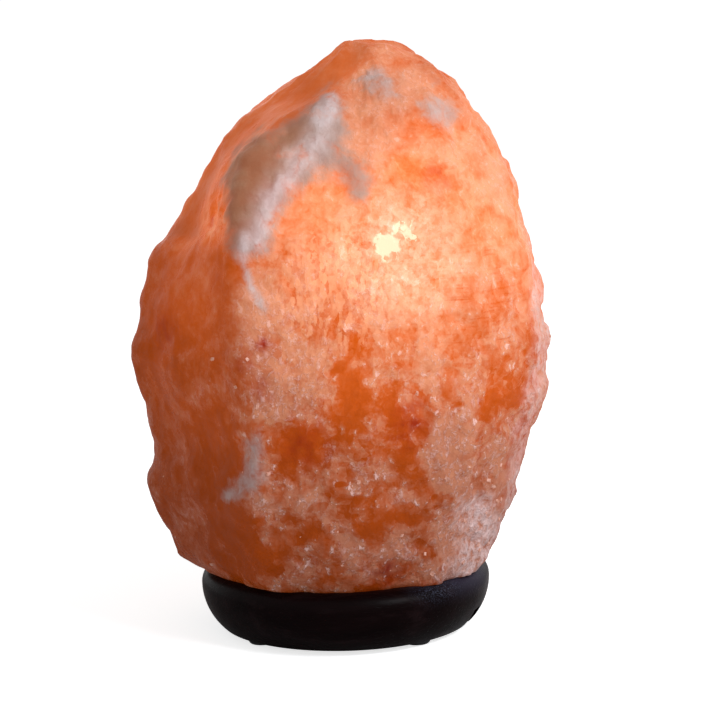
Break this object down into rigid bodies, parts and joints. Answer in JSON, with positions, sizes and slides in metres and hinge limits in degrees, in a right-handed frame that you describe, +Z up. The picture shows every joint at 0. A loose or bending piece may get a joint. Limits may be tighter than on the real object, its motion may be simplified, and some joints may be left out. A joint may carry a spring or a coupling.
{
  "type": "salt crystal lamp",
  "caption": "Table lamp: a rough orange salt crystal screwed to a dark turned wooden base, lit from inside by a candle bulb whose holder clips in from underneath.",
  "frame": {"origin": "on the axis of the turned base, at the table under the feet", "axes": "+Z up along the axis of the base, -Y towards the viewer of the picture, +X to the viewer's right"},
  "size_m": [0.1594, 0.1307, 0.222],
  "materials": {
    "rock_salt": "satin",
    "dark_wood": "satin",
    "black_rubber": "matte",
    "zinc_steel": "satin",
    "grey_nylon": "matte",
    "plate_steel": "satin",
    "spring_steel": "polished",
    "black_bakelite": "gloss",
    "white_ceramic": "matte",
    "brass": "satin",
    "solder": "satin",
    "nickel_cap": "polished",
    "black_glass": "gloss",
    "clear_glass": "gloss",
    "nickel_wire": "satin",
    "tungsten": "matte"
  },
  "bodies": {
    "lamp": {"salt_crystal": "rock_salt", "wooden_base": "dark_wood", "rubber_feet": "black_rubber", "crystal_fixing_screws": "zinc_steel", "wall_plugs": "grey_nylon"},
    "lamp_holder": {"holder_plate": "plate_steel", "spring_clips": "spring_steel", "clip_rivets": "brass", "holder_cap": "black_bakelite", "cap_screws": "zinc_steel", "holder_shell": "black_bakelite", "contact_insert": "white_ceramic", "threaded_liner": "brass", "side_contact": "brass", "centre_contact": "brass", "terminal_screws": "zinc_steel"},
    "bulb_foot": {"bulb_contact_tip": "solder"},
    "bulb": {"bulb_cap": "nickel_cap", "bulb_insulator": "black_glass", "bulb_glass": "clear_glass", "bulb_stem": "clear_glass", "bulb_lead_wires": "nickel_wire", "bulb_filament": "tungsten"}
  },
  "joints": [
    {"name": "holder_pull", "type": "slide", "parent": "lamp", "child": "lamp_holder", "axis": [0, 0, -1], "range_m": [0, 0.13]},
    {"name": "bulb_rise", "type": "slide", "parent": "lamp_holder", "child": "bulb_foot", "axis": [0, 0, 1], "range_m": [0, 0.0142]},
    {"name": "bulb_turn", "type": "hinge", "parent": "bulb_foot", "child": "bulb", "pos_m": [0, 0, 0.0297], "axis": [0, 0, 1], "range_deg": [0, 1800]}
  ],
  "couplings": [
    {"joint": "bulb_rise", "follows": "bulb_turn", "m_per_rad": 0.00044913}
  ]
}
